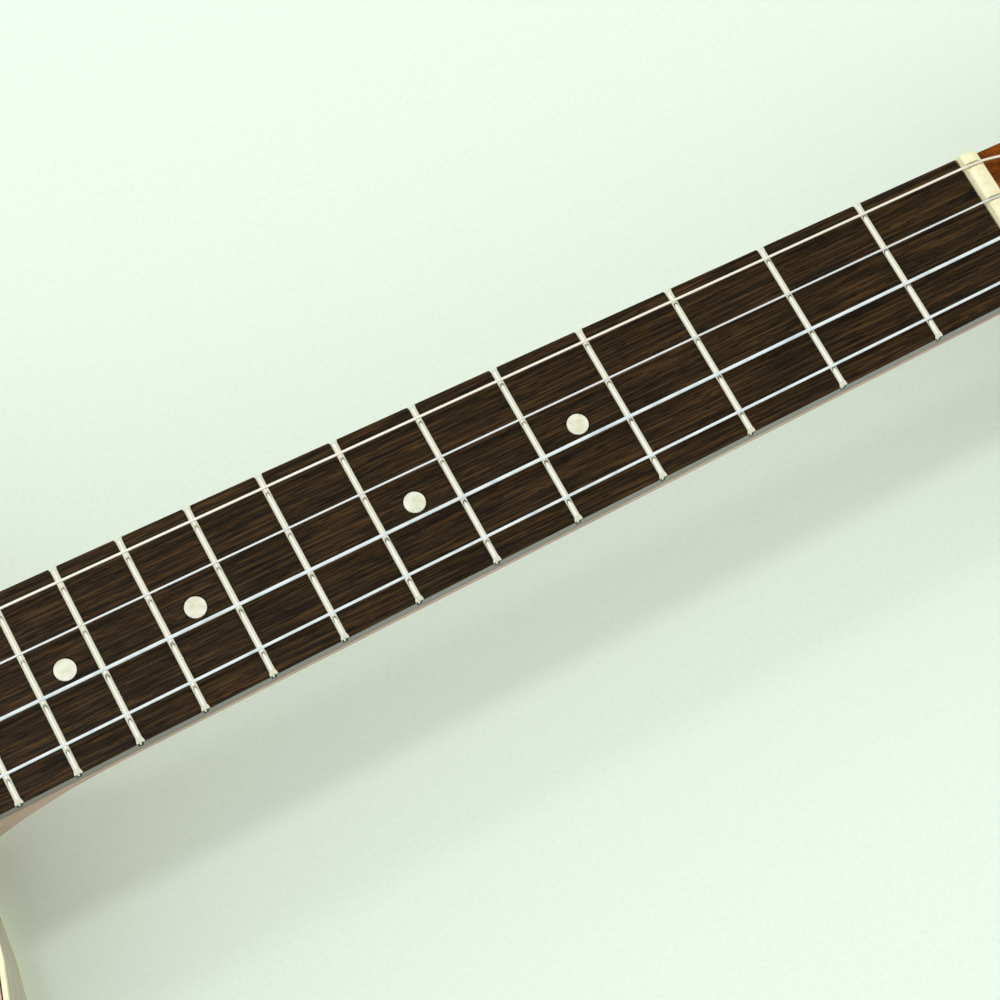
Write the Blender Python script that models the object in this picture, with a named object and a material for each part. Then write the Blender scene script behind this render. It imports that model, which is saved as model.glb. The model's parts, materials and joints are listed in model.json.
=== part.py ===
"""A baritone ukulele as an assembly of its separate pieces: a hollow body of plates, bent ribs, linings, braces and
blocks, a one-piece neck with heel and angled head, a fretted fingerboard, nut, bridge and saddle, four strings, and
four open-geared tuners whose worms turn toothed wheels fourteen times slower.

It lies on its back. +X runs towards the head, +Y to the bass side, and +Z is up, out of the face. All sizes are in
metres. Distances called s run from the front of the nut towards the tail, along -X."""

import math

import bmesh
import bpy
import numpy as np
from mathutils import Vector

GAP = 0.0003                  # glue line or running clearance left between two pieces

# Fingerboard and frets
SCALE_LENGTH = 0.508          # front of the nut to the saddle, before compensation
FRET_COUNT = 18
JOINT_FRET = 14               # the fret where the neck meets the body
OCTAVE_FRET = 12
BOARD_NUT_WIDTH = 0.0381
BOARD_OCTAVE_WIDTH = 0.0461
BOARD_THICKNESS = 0.004
BOARD_OVERHANG = 0.006        # board left beyond the last fret
FRET_CROWN_WIDTH = 0.002
FRET_CROWN_HEIGHT = 0.001
FRET_TANG_WIDTH = 0.0006
FRET_TANG_DEPTH = 0.0016
FRET_END_BEVEL = math.radians(35)
DOT_FRETS = (5, 7, 10, 12)
DOT_RADIUS = 0.00255
DOT_DEPTH = 0.0014

# Body
BODY_LENGTH = 0.356
BODY_DEPTH = 0.075
UPPER_BOUT_WIDTH = 0.190
UPPER_BOUT_STATION = 0.080    # from the neck joint, as are the other stations
WAIST_WIDTH = 0.152
WAIST_STATION = 0.142
LOWER_BOUT_WIDTH = 0.256
LOWER_BOUT_STATION = 0.248
SHOULDER_FLAT = 0.024         # half the straight stretch that the heel seats on
SHOULDER_SLOPE = math.radians(4)
SOUNDBOARD_THICKNESS = 0.002
BACK_THICKNESS = 0.0022
RIB_THICKNESS = 0.0018
BINDING_WIDTH = 0.0012
BINDING_HEIGHT = 0.004
LINING_WIDTH = 0.005
LINING_HEIGHT = 0.010
LINING_LIP = 0.002            # thickness of the lining's thin edge
SOUNDHOLE_RADIUS = 0.033
SOUNDHOLE_STATION = 0.104
ROSETTE_INSET = 0.004         # wood left between the soundhole and the rosette
ROSETTE_WIDTH = 0.005
ROSETTE_DEPTH = 0.0009
BRACE_WIDTH = 0.006
BRACE_HEIGHT = 0.009
UPPER_BRACE_STATION = 0.058
LOWER_BRACE_STATION = 0.152
BACK_BRACE_STATIONS = (0.095, 0.245)
NECK_BLOCK_LENGTH = 0.022
NECK_BLOCK_WIDTH = 0.050
TAIL_BLOCK_LENGTH = 0.014
TAIL_BLOCK_WIDTH = 0.044

# Neck, heel and head
NECK_DEPTH_NUT = 0.0145
NECK_DEPTH_HEEL = 0.0165
HEEL_RUN = 0.048              # where the neck starts to deepen, from the joint
HEEL_TONGUE = 0.011           # length of the heel's foot along the neck
HEEL_FOOT_WIDTH = 0.019
HEEL_SWEEP = 2.6              # how steeply the heel's curve climbs
HEEL_CAP_THICKNESS = 0.0025
HEAD_ANGLE = math.radians(12)
HEAD_LENGTH = 0.134
HEAD_WIDTH = 0.062
HEAD_THICKNESS = 0.0135
HEAD_FLARE = 0.055            # length over which the head widens from the nut
HEAD_CORNER = 0.011
HEAD_ARCH_RADIUS = 0.085
VENEER_THICKNESS = 0.0018

# Nut, bridge and saddle
NUT_THICKNESS = 0.0058
NUT_ABOVE_BOARD = 0.0019
NUT_SLOT_ABOVE_BOARD = 0.0012
BRIDGE_WIDTH = 0.100
BRIDGE_BLOCK_WIDTH = 0.062
BRIDGE_HEIGHT = 0.0075
BRIDGE_WING_HEIGHT = 0.0032
BRIDGE_SHOULDER = 0.006       # length of the slope from the block down to a wing
BRIDGE_FRONT = 0.009          # from the saddle's centre to the bridge's front edge
BRIDGE_REAR = 0.018
SADDLE_COMPENSATION = 0.0015
SADDLE_THICKNESS = 0.003
SADDLE_LENGTH = 0.052
SADDLE_SLOT_DEPTH = 0.0045
STRING_AT_SADDLE = 0.0058     # underside of the strings at the saddle, above the board's top
KNOT_GROOVE_HEIGHT = 0.0042
KNOT_GROOVE_DEPTH = 0.0055
STRING_SLOT_LENGTH = 0.0085

# Strings, from the bass side: name, diameter
STRINGS = (("D", 0.00074), ("G", 0.0006), ("B", 0.00084), ("E", 0.00068))
STRING_PITCH_NUT = 0.00996
STRING_PITCH_SADDLE = 0.01315
STRING_SHIFT = 0.0007         # the whole set sits this much to the bass side
KNOT_SWELL = 2.4              # knot radius over string radius
KNOT_HEIGHT = 0.002
STRING_BEND = 0.0012          # how far from the edge of the bridge's slot a string starts to turn down
WINDING_TURNS = 2.5
WINDING_GAP = 0.00045         # clear space between one turn and the next
WINDING_START = 0.0035        # where the string arrives on its post, above the face of the head

# Tuners
TUNER_ROWS = (0.042, 0.086)   # post positions along the head, from behind the nut
POST_SPREAD = 0.014           # post axis to the centre line
POST_RADIUS = 0.003
POST_HEIGHT = 0.0115          # above the face of the head
POST_TIP_CHAMFER = 0.0006
COLLAR_RADIUS = 0.0044
COLLAR_HEIGHT = 0.001
STRING_HOLE_RADIUS = 0.0006
STRING_HOLE_DROP = 0.003      # from the post's tip down to its string hole
WHEEL_TEETH = 14
WHEEL_MODULE = 0.0008
WHEEL_THICKNESS = 0.004
WHEEL_ROOT_SHARE = 0.60       # of the circular pitch, taken by a wheel tooth at its root, and at its tip
WHEEL_TIP_SHARE = 0.22
WORM_PITCH_RADIUS = 0.0028
WORM_TURNS = 3
THREAD_ROOT_SHARE = 0.64      # of the lead, taken by the worm's thread at its core, and at its crest
THREAD_CREST_SHARE = 0.20
TOOTH_ADDENDUM = 0.0007
TOOTH_CLEARANCE = 0.0003
SHAFT_RADIUS = 0.0014
PLATE_THICKNESS = 0.0012
PLATE_LENGTH = 0.023
PLATE_WIDTH = 0.0195
EAR_THICKNESS = 0.0015
EAR_WALL = 0.0015             # metal left round the shaft's hole
EAR_SPREAD = 0.0075           # ear centre to the post's axis, across the head
BUTTON_LENGTH = 0.017
BUTTON_WIDTH = 0.0125
BUTTON_THICKNESS = 0.006
BUTTON_CLEARANCE = 0.005      # from the head's edge to the button
BUTTON_SOCKET = 0.005         # how far the shaft reaches into the button

# Sides of round pieces
HOLE_SIDES = 24
SOUNDHOLE_SIDES = 40
POST_SIDES = 16
THREAD_STEPS = 12             # per turn of the worm
WINDING_STEPS = 16            # per turn of string


def fret_distance(number):
    """Distance of a fret from the nut: each semitone shortens the string by the twelfth root of two."""
    return SCALE_LENGTH * (1 - 2 ** (-number / 12))


JOINT = fret_distance(JOINT_FRET)
BOARD_LENGTH = fret_distance(FRET_COUNT) + BOARD_OVERHANG
SADDLE_S = SCALE_LENGTH + SADDLE_COMPENSATION
HEAD_REACH = (NUT_THICKNESS + GAP + HEAD_LENGTH * math.cos(HEAD_ANGLE)
              + (GAP + VENEER_THICKNESS) * math.sin(HEAD_ANGLE))
NUT_X = (JOINT + BODY_LENGTH - HEAD_REACH) / 2
BOARD_BOTTOM = BODY_DEPTH + GAP
BOARD_TOP = BOARD_BOTTOM + BOARD_THICKNESS
WHEEL_PITCH_RADIUS = WHEEL_MODULE * WHEEL_TEETH / 2
WORM_LEAD = math.pi * WHEEL_MODULE
WORM_CORE_RADIUS = WORM_PITCH_RADIUS - TOOTH_ADDENDUM - TOOTH_CLEARANCE
WORM_OFFSET = WHEEL_PITCH_RADIUS + WORM_PITCH_RADIUS
PLATE_LEVEL = -(HEAD_THICKNESS + GAP)
HUB_LEVEL = PLATE_LEVEL - PLATE_THICKNESS - GAP
WHEEL_LEVEL = HUB_LEVEL - max(WORM_PITCH_RADIUS + TOOTH_ADDENDUM, WHEEL_THICKNESS / 2)
FACE_LEVEL = GAP + VENEER_THICKNESS

HEAD_ORIGIN = Vector((NUT_X + NUT_THICKNESS + GAP, 0, BODY_DEPTH))
HEAD_ALONG = Vector((math.cos(HEAD_ANGLE), 0, -math.sin(HEAD_ANGLE)))
HEAD_NORMAL = Vector((math.sin(HEAD_ANGLE), 0, math.cos(HEAD_ANGLE)))
ACROSS = Vector((0, 1, 0))


def x_of(s):
    return NUT_X - s


def on_head(u, y, w):
    """A point on the head: u along its face from the nut, y across, w above the wood."""
    return HEAD_ORIGIN + HEAD_ALONG * u + ACROSS * y + HEAD_NORMAL * w


def smooth_step(t):
    """Rises from 0 to 1 with no slope or curvature at either end."""
    t = min(max(t, 0.0), 1.0)
    return t * t * t * (10 - 15 * t + 6 * t * t)


def material(name, colour, roughness, metallic=0.0):
    made = bpy.data.materials.get(name)
    if made:
        return made
    made = bpy.data.materials.new(name)
    made.use_nodes = True
    shader = made.node_tree.nodes["Principled BSDF"]
    shader.inputs["Base Color"].default_value = (*colour, 1)
    shader.inputs["Roughness"].default_value = roughness
    shader.inputs["Metallic"].default_value = metallic
    return made


def mahogany():
    return material("mahogany", (0.34, 0.12, 0.025), 0.3)


def rosewood():
    return material("rosewood", (0.045, 0.025, 0.014), 0.5)


def spruce():
    return material("spruce", (0.62, 0.45, 0.26), 0.6)


def cream_plastic():
    return material("cream_plastic", (0.82, 0.78, 0.55), 0.35)


def bone():
    return material("bone", (0.84, 0.80, 0.58), 0.4)


def pearl():
    return material("pearl", (0.80, 0.81, 0.70), 0.25)


def nickel_silver():
    return material("nickel_silver", (0.72, 0.71, 0.65), 0.25, 1.0)


def chrome():
    return material("chrome", (0.75, 0.75, 0.76), 0.15, 1.0)


def wound_wire():
    return material("wound_wire", (0.70, 0.69, 0.66), 0.3, 1.0)


def nylon():
    return material("nylon", (0.78, 0.82, 0.82), 0.3)


def add_object(name, mesh, finish, smooth=False):
    mesh.materials.append(finish)
    if smooth:
        mesh.shade_smooth()
        mesh.set_sharp_from_angle(angle=math.radians(35))
    made = bpy.data.objects.new(name, mesh)
    bpy.context.scene.collection.objects.link(made)
    return made


def closed_mesh(name, points, faces):
    """A mesh from points and faces, with its normals turned outwards."""
    mesh = bpy.data.meshes.new(name)
    mesh.from_pydata([tuple(p) for p in points], [], faces)
    work = bmesh.new()
    work.from_mesh(mesh)
    bmesh.ops.recalc_face_normals(work, faces=work.faces)
    work.to_mesh(mesh)
    work.free()
    return mesh


def loft(name, rings, finish, smooth=True):
    """A solid whose skin joins rings of equally many points, with a flat cap on each end."""
    count = len(rings[0])
    points = [p for ring in rings for p in ring]
    faces = []
    for i in range(len(rings) - 1):
        for j in range(count):
            k = (j + 1) % count
            faces.append((i * count + j, i * count + k, (i + 1) * count + k, (i + 1) * count + j))
    faces.append(tuple(range(count)))
    faces.append(tuple(range((len(rings) - 1) * count, len(rings) * count)))
    return add_object(name, closed_mesh(name, points, faces), finish, smooth)


def band(name, outer, inner, outer_levels, inner_levels, finish, closed):
    """A strip between two outlines of equally many points: a ring, or an open strip with ends. The levels are
    each outline's bottom and top, so that a strip can thin towards its inner side."""
    count = len(outer)
    section = [(outer, outer_levels[0]), (outer, outer_levels[1]), (inner, inner_levels[1]), (inner, inner_levels[0])]
    points = [(x, y, z) for line, z in section for x, y in line]
    faces = []
    for i in range(count if closed else count - 1):
        k = (i + 1) % count
        for a in range(4):
            b = (a + 1) % 4
            faces.append((a * count + i, a * count + k, b * count + k, b * count + i))
    if not closed:
        faces.append(tuple(a * count for a in range(4)))
        faces.append(tuple(a * count + count - 1 for a in range(4)))
    return add_object(name, closed_mesh(name, points, faces), finish)


def prism(name, outline, bottom, top, finish, smooth=False):
    """A plate: the outline of (x, y) points carried from bottom to top."""
    rings = [[(x, y, z) for x, y in outline] for z in (bottom, top)]
    return loft(name, rings, finish, smooth)


def box_points(centre, sizes, axes=(Vector((1, 0, 0)), ACROSS, Vector((0, 0, 1)))):
    corners = ((-1, -1, -1), (1, -1, -1), (1, 1, -1), (-1, 1, -1), (-1, -1, 1), (1, -1, 1), (1, 1, 1), (-1, 1, 1))
    centre = Vector(centre)
    return [centre + sum((axes[i] * (c[i] * sizes[i] / 2) for i in range(3)), Vector()) for c in corners]


BOX_FACES = ((0, 3, 2, 1), (4, 5, 6, 7), (0, 1, 5, 4), (1, 2, 6, 5), (2, 3, 7, 6), (3, 0, 4, 7))


def cylinder_points(start, end, radius, sides):
    """Two rings of points round the line from start to end."""
    axis = (end - start).normalized()
    side = axis.orthogonal().normalized()
    other = axis.cross(side)
    turns = [math.tau * i / sides for i in range(sides)]
    return [[p + (side * math.cos(a) + other * math.sin(a)) * radius for a in turns] for p in (start, end)]


def join_shapes(name, shapes):
    """One mesh that holds several closed shapes, each given as points and faces."""
    points, faces = [], []
    for shape_points, shape_faces in shapes:
        faces += [tuple(i + len(points) for i in face) for face in shape_faces]
        points += shape_points
    return closed_mesh(name, points, faces)


def cylinder_shape(start, end, radius, sides=HOLE_SIDES):
    low, high = cylinder_points(start, end, radius, sides)
    faces = [(i, (i + 1) % sides, sides + (i + 1) % sides, sides + i) for i in range(sides)]
    faces += [tuple(range(sides)), tuple(range(sides, 2 * sides))]
    return low + high, faces


def box_shape(centre, sizes, **axes):
    return box_points(centre, sizes, **axes), BOX_FACES


def helper(name, shapes):
    """A hidden object for a Boolean to use."""
    made = bpy.data.objects.new(name, join_shapes(name, shapes))
    bpy.context.scene.collection.objects.link(made)
    made.hide_render = True
    made.display_type = "WIRE"
    return made


def cut(target, name, shapes):
    """Takes the shapes out of the target with one Boolean."""
    modifier = target.modifiers.new(name, "BOOLEAN")
    modifier.operation = "DIFFERENCE"
    modifier.object = helper(target.name + "_" + name, shapes)


def fuse(target, name, shapes):
    """Joins the shapes, which overlap the target and not each other, to it."""
    modifier = target.modifiers.new(name, "BOOLEAN")
    modifier.operation = "UNION"
    modifier.object = helper(target.name + "_" + name, shapes)


# Body


def bezier(p0, p1, p2, p3, count):
    """Points and directions along a cubic Bezier curve, without its last point."""
    t = np.linspace(0, 1, count, endpoint=False)[:, None]
    p0, p1, p2, p3 = (np.array(p) for p in (p0, p1, p2, p3))
    points = (1 - t) ** 3 * p0 + 3 * (1 - t) ** 2 * t * p1 + 3 * (1 - t) * t ** 2 * p2 + t ** 3 * p3
    ways = (1 - t) ** 2 * (p1 - p0) + 2 * (1 - t) * t * (p2 - p1) + t ** 2 * (p3 - p2)
    return points, ways


SHOULDER_STEPS = 10
UPPER_WAIST_STEPS = 7
LOWER_WAIST_STEPS = 8
TAIL_STEPS = 12
SHOULDER_EASE = (0.72, 0.775)  # Bezier handles, as shares of the span they belong to
WAIST_EASE = (0.44, 0.42)
LOWER_EASE = (0.46, 0.52)
TAIL_EASE = (0.56, 0.60)


def half_outline(inset):
    """The bass half of the body's outline, from the neck joint to the tail, moved inwards by inset.
    Returns x and y. Four Bezier spans join the shoulder flat, upper bout, waist, lower bout and tail."""
    upper, waist, lower = UPPER_BOUT_WIDTH / 2, WAIST_WIDTH / 2, LOWER_BOUT_WIDTH / 2
    to_waist = WAIST_STATION - UPPER_BOUT_STATION
    to_lower = LOWER_BOUT_STATION - WAIST_STATION
    to_tail = BODY_LENGTH - LOWER_BOUT_STATION
    handle = SHOULDER_EASE[0] * (upper - SHOULDER_FLAT)
    spans = (
        ((0, SHOULDER_FLAT), (handle * math.tan(SHOULDER_SLOPE), SHOULDER_FLAT + handle),
         (UPPER_BOUT_STATION * (1 - SHOULDER_EASE[1]), upper), (UPPER_BOUT_STATION, upper), SHOULDER_STEPS),
        ((UPPER_BOUT_STATION, upper), (UPPER_BOUT_STATION + WAIST_EASE[0] * to_waist, upper),
         (WAIST_STATION - WAIST_EASE[1] * to_waist, waist), (WAIST_STATION, waist), UPPER_WAIST_STEPS),
        ((WAIST_STATION, waist), (WAIST_STATION + LOWER_EASE[0] * to_lower, waist),
         (LOWER_BOUT_STATION - LOWER_EASE[1] * to_lower, lower), (LOWER_BOUT_STATION, lower), LOWER_WAIST_STEPS),
        ((LOWER_BOUT_STATION, lower), (LOWER_BOUT_STATION + TAIL_EASE[0] * to_tail, lower),
         (BODY_LENGTH, TAIL_EASE[1] * lower), (BODY_LENGTH, 0), TAIL_STEPS),
    )
    points, ways = zip(*(bezier(*span) for span in spans))
    points = np.vstack([[0, 0], *points, [BODY_LENGTH, 0]])
    ways = np.vstack([[0, 1], *ways, [0, -1]])
    ways /= np.linalg.norm(ways, axis=1)[:, None]
    inwards = np.column_stack([ways[:, 1], -ways[:, 0]])
    moved = points + inset * inwards
    return [(x_of(JOINT + s), y) for s, y in moved]


def mirrored(line):
    return [(x, -y) for x, y in line]


def full_outline(inset):
    half = half_outline(inset)
    return half + mirrored(half)[-2:0:-1]


def half_width(station, inset):
    """Half the body's width at a distance from the neck joint, inside an inset."""
    line = half_outline(inset)
    stations = [x_of(JOINT) - x for x, y in line]
    return float(np.interp(station, stations, [y for x, y in line]))


def make_plates():
    inset = BINDING_WIDTH + GAP
    soundhole_x = x_of(JOINT + SOUNDHOLE_STATION)
    top = prism("soundboard", full_outline(inset), BODY_DEPTH - SOUNDBOARD_THICKNESS, BODY_DEPTH, mahogany())
    through = 2 * SOUNDBOARD_THICKNESS
    centre = Vector((soundhole_x, 0, BODY_DEPTH))
    cut(top, "soundhole", [cylinder_shape(centre - Vector((0, 0, through)), centre + Vector((0, 0, through)),
                                          SOUNDHOLE_RADIUS, SOUNDHOLE_SIDES)])
    inner = SOUNDHOLE_RADIUS + ROSETTE_INSET
    outer = inner + ROSETTE_WIDTH
    floor = BODY_DEPTH - ROSETTE_DEPTH
    channel = ring_shape(soundhole_x, inner - GAP, outer + GAP, floor - GAP, BODY_DEPTH + through)
    cut(top, "rosette_channel", [channel])
    points, faces = ring_shape(soundhole_x, inner, outer, floor, BODY_DEPTH)
    add_object("rosette", closed_mesh("rosette", points, faces), cream_plastic())
    prism("back", full_outline(inset), 0, BACK_THICKNESS, mahogany())


def ring_shape(x, inner, outer, bottom, top, sides=SOUNDHOLE_SIDES):
    """A flat ring round the vertical line at x, as points and faces."""
    points = []
    for radius, z in ((outer, bottom), (outer, top), (inner, top), (inner, bottom)):
        for i in range(sides):
            a = math.tau * i / sides
            points.append(Vector((x + radius * math.cos(a), radius * math.sin(a), z)))
    faces = []
    for a in range(4):
        b = (a + 1) % 4
        for i in range(sides):
            k = (i + 1) % sides
            faces.append((a * sides + i, a * sides + k, b * sides + k, b * sides + i))
    return points, faces


def make_ribs():
    bottom, top = BINDING_HEIGHT + GAP, BODY_DEPTH - BINDING_HEIGHT - GAP
    outer, inner = half_outline(0), half_outline(RIB_THICKNESS)
    for line in (outer, inner):
        line[0] = (line[0][0], GAP / 2)
        line[-1] = (line[-1][0], GAP / 2)
    levels = (bottom, top)
    band("rib_bass", outer, inner, levels, levels, mahogany(), closed=False)
    band("rib_treble", mirrored(outer), mirrored(inner), levels, levels, mahogany(), closed=False)


def make_bindings():
    outer, inner = full_outline(0), full_outline(BINDING_WIDTH)
    for name, levels in (("top_binding", (BODY_DEPTH - BINDING_HEIGHT, BODY_DEPTH)),
                         ("back_binding", (0, BINDING_HEIGHT))):
        band(name, outer, inner, levels, levels, cream_plastic(), closed=True)


def lining_line(inset):
    """A line along the lining, from one side of the neck block round the tail to the other."""
    start = NECK_BLOCK_WIDTH / 2 + GAP
    half = [p for p in half_outline(inset)[1:] if p[1] > start or p[0] < x_of(JOINT + UPPER_BOUT_STATION)]
    half.insert(0, (x_of(JOINT + inset), start))
    return half + mirrored(half)[-2::-1]


def make_linings():
    """Each lining is as wide as its foot on the plate and thins to nothing much up the rib."""
    rib_face = RIB_THICKNESS + GAP
    outer, inner = lining_line(rib_face), lining_line(rib_face + LINING_WIDTH)
    top = BODY_DEPTH - SOUNDBOARD_THICKNESS - GAP
    bottom = BACK_THICKNESS + GAP
    band("top_lining", outer, inner, (top - LINING_HEIGHT, top), (top - LINING_LIP, top), mahogany(), closed=False)
    band("back_lining", outer, inner, (bottom, bottom + LINING_HEIGHT), (bottom, bottom + LINING_LIP), mahogany(),
         closed=False)


TAIL_BLOCK_STEPS = 8


def make_blocks():
    """The neck block fills the height between the plates. The tail block follows the ribs, between the linings."""
    rib_face = RIB_THICKNESS + GAP
    centre = JOINT + rib_face + NECK_BLOCK_LENGTH / 2
    bottom, top = BACK_THICKNESS + GAP, BODY_DEPTH - SOUNDBOARD_THICKNESS - GAP
    sizes = (NECK_BLOCK_LENGTH, NECK_BLOCK_WIDTH, top - bottom)
    points, faces = box_shape((x_of(centre), 0, (bottom + top) / 2), sizes)
    add_object("neck_block", closed_mesh("neck_block", points, faces), mahogany())
    tail = [p for p in half_outline(rib_face) if p[0] < x_of(JOINT + LOWER_BOUT_STATION)][::-1]
    half = TAIL_BLOCK_WIDTH / 2
    across = [half - TAIL_BLOCK_WIDTH * i / TAIL_BLOCK_STEPS for i in range(TAIL_BLOCK_STEPS + 1)]
    outer = [(float(np.interp(abs(y), [p[1] for p in tail], [p[0] for p in tail])), y) for y in across]
    inner_x = tail[0][0] + TAIL_BLOCK_LENGTH
    outline = outer + [(inner_x, -half), (inner_x, half)]
    clear = LINING_HEIGHT + GAP
    prism("tail_block", outline, bottom + clear, top - clear, mahogany())


def make_brace(name, station, level, up):
    """A bar across the body whose ends taper; level is the plate's face and up says which way it stands."""
    reach = half_width(station, RIB_THICKNESS + GAP + LINING_WIDTH) - 4 * GAP
    rings = []
    for y, share in ((-reach, 0.35), (-0.72 * reach, 1), (0.72 * reach, 1), (reach, 0.35)):
        far = level + up * BRACE_HEIGHT * share
        x = x_of(JOINT + station)
        half = BRACE_WIDTH / 2
        rings.append([(x - half, y, level), (x + half, y, level), (x + 0.5 * half, y, far), (x - 0.5 * half, y, far)])
    loft(name, rings, spruce(), smooth=False)


def make_braces():
    under_top = BODY_DEPTH - SOUNDBOARD_THICKNESS - GAP
    on_back = BACK_THICKNESS + GAP
    make_brace("top_brace_upper", UPPER_BRACE_STATION, under_top, -1)
    make_brace("top_brace_lower", LOWER_BRACE_STATION, under_top, -1)
    for name, station in zip(("back_brace_upper", "back_brace_lower"), BACK_BRACE_STATIONS):
        make_brace(name, station, on_back, 1)


# Neck


def board_half_width(s):
    slope = (BOARD_OCTAVE_WIDTH - BOARD_NUT_WIDTH) / fret_distance(OCTAVE_FRET)
    return (BOARD_NUT_WIDTH + slope * s) / 2


def head_half_width(u):
    flare = smooth_step(u / HEAD_FLARE)
    half = BOARD_NUT_WIDTH / 2 + (HEAD_WIDTH - BOARD_NUT_WIDTH) / 2 * flare
    into_corner = max(0.0, u - (HEAD_LENGTH - HEAD_CORNER))
    return half - HEAD_CORNER + math.sqrt(max(0.0, HEAD_CORNER ** 2 - into_corner ** 2))


def arched(u, y):
    """Moves a point of the head back along it, so that its end is an arch; nothing moves near the nut."""
    return u - smooth_step(u / HEAD_LENGTH) * y * y / (2 * HEAD_ARCH_RADIUS)


HEAD_STATIONS = (0.07, 0.14, 0.21, 0.27, 0.34, 0.55, 0.75)
CORNER_STEPS = 4


def head_stations():
    """Where the head's cross-sections lie: along the flare, the straight part and round the corners."""
    straight_end = HEAD_LENGTH - HEAD_CORNER
    stations = [share * HEAD_LENGTH for share in HEAD_STATIONS]
    quarter = [math.radians(90) * i / CORNER_STEPS for i in range(CORNER_STEPS)]
    return stations + [straight_end + HEAD_CORNER * math.sin(a) for a in quarter] + [HEAD_LENGTH * 0.999]


SECTION_STEPS = 8
SECTION_END = math.radians(86)
HEEL_STEPS = 12
SHAFT_SQUARENESS = 2.2
HEAD_SQUARENESS = 14.0
HEEL_DEPTH = BODY_DEPTH - HEEL_CAP_THICKNESS - GAP
HEEL_END = JOINT - GAP


def neck_section(origin, up, half, depth, squareness, floor=None, taper=0.0):
    """One cross-section: a flat top and, below it, a superellipse, cut flat where it would pass the floor, whose
    sides lean in by taper for each metre down."""
    last = SECTION_END
    if floor and depth > floor:
        last = min(last, math.asin((floor / depth) ** (squareness / 2)))
    right = []
    for i in range(SECTION_STEPS + 1):
        a = last * i / SECTION_STEPS
        down = depth * math.sin(a) ** (2 / squareness)
        side = half * math.cos(a) ** (2 / squareness) * (1 - taper * down)
        right.append((side, down))
    both = right + [(-side, down) for side, down in reversed(right)]
    return [origin + ACROSS * side - up * down for side, down in both]


def heel_curve(s):
    """The neck's depth at a distance from the nut, before it is cut off by the heel cap, and its sides' taper.
    The depth climbs from the shaft by a power curve that reaches the cap one tongue's length from the joint."""
    along = min(1.0, (HEEL_END - s) / HEEL_RUN)
    at_tongue = (1 - HEEL_TONGUE / HEEL_RUN) ** HEEL_SWEEP
    depth = NECK_DEPTH_HEEL + (HEEL_DEPTH - NECK_DEPTH_HEEL) * (1 - along) ** HEEL_SWEEP / at_tongue
    full = NECK_DEPTH_HEEL + (HEEL_DEPTH - NECK_DEPTH_HEEL) / at_tongue
    foot = board_half_width(HEEL_END) * superellipse_half(HEEL_DEPTH / full)
    taper = (1 - HEEL_FOOT_WIDTH / 2 / foot) / HEEL_DEPTH
    return depth, taper * (1 - along)


def superellipse_half(down):
    """Half width of the shaft's section over that at its top, at a share of its depth."""
    return max(0.0, 1 - down ** SHAFT_SQUARENESS) ** (1 / SHAFT_SQUARENESS)


def make_neck():
    up = Vector((0, 0, 1))
    rings = []
    for i in range(HEEL_STEPS + 1):
        s = HEEL_END - HEEL_RUN * (i / HEEL_STEPS) ** 1.2
        depth, taper = heel_curve(s)
        rings.append(neck_section(Vector((x_of(s), 0, BODY_DEPTH)), up, board_half_width(s), depth,
                                  SHAFT_SQUARENESS, HEEL_DEPTH, taper))
    shaft_end = HEEL_END - HEEL_RUN
    for share in (0.66, 0.33, 0.0):
        s = shaft_end * share
        depth = NECK_DEPTH_NUT + (NECK_DEPTH_HEEL - NECK_DEPTH_NUT) * share
        rings.append(neck_section(Vector((x_of(s), 0, BODY_DEPTH)), up, board_half_width(s), depth,
                                  SHAFT_SQUARENESS))
    half_way = (up + HEAD_NORMAL).normalized()
    middle = (NECK_DEPTH_NUT + HEAD_THICKNESS) / 2
    rings.append(neck_section(HEAD_ORIGIN, half_way, BOARD_NUT_WIDTH / 2, middle, 3.0))
    for i, u in enumerate(head_stations()):
        squareness = min(HEAD_SQUARENESS, 4.0 + 4.0 * i)
        ring = neck_section(on_head(u, 0, 0), HEAD_NORMAL, head_half_width(u), HEAD_THICKNESS, squareness)
        rings.append([p - HEAD_ALONG * (u - arched(u, p.y)) for p in ring])
    neck = loft("neck", rings, mahogany())
    cut(neck, "post_holes", [post_bore(u, side) for u in TUNER_ROWS for side in (1, -1)])


def post_bore(u, side):
    reach = HEAD_THICKNESS + VENEER_THICKNESS
    return cylinder_shape(on_head(u, side * POST_SPREAD, -2 * reach), on_head(u, side * POST_SPREAD, reach),
                          POST_RADIUS + GAP, HOLE_SIDES)


def make_veneer():
    stations = [0.0] + head_stations()
    edge = [(u, head_half_width(u)) for u in stations]
    across_tip = [(HEAD_LENGTH, edge[-1][1] * share) for share in (0.5, 0.0, -0.5)]
    outline = edge + across_tip + [(u, -y) for u, y in reversed(edge)]
    rings = [[on_head(arched(u, y), y, w) for u, y in outline] for w in (GAP, GAP + VENEER_THICKNESS)]
    veneer = loft("head_veneer", rings, mahogany(), smooth=False)
    cut(veneer, "post_holes", [post_bore(u, side) for u in TUNER_ROWS for side in (1, -1)])


CAP_STEPS = 6


def make_heel_cap():
    """The cap has the outline of the heel's foot: the width where each section meets the cap."""
    right = []
    for i in range(CAP_STEPS):
        s = HEEL_END - HEEL_TONGUE * math.sin(math.radians(90) * i / CAP_STEPS)
        depth, taper = heel_curve(s)
        half = board_half_width(s) * superellipse_half(HEEL_DEPTH / depth) * (1 - taper * HEEL_DEPTH)
        right.append((x_of(s), half))
    tip = (x_of(HEEL_END - HEEL_TONGUE), 0)
    prism("heel_cap", right + [tip] + mirrored(right)[::-1], 0, HEEL_CAP_THICKNESS, cream_plastic())


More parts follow.
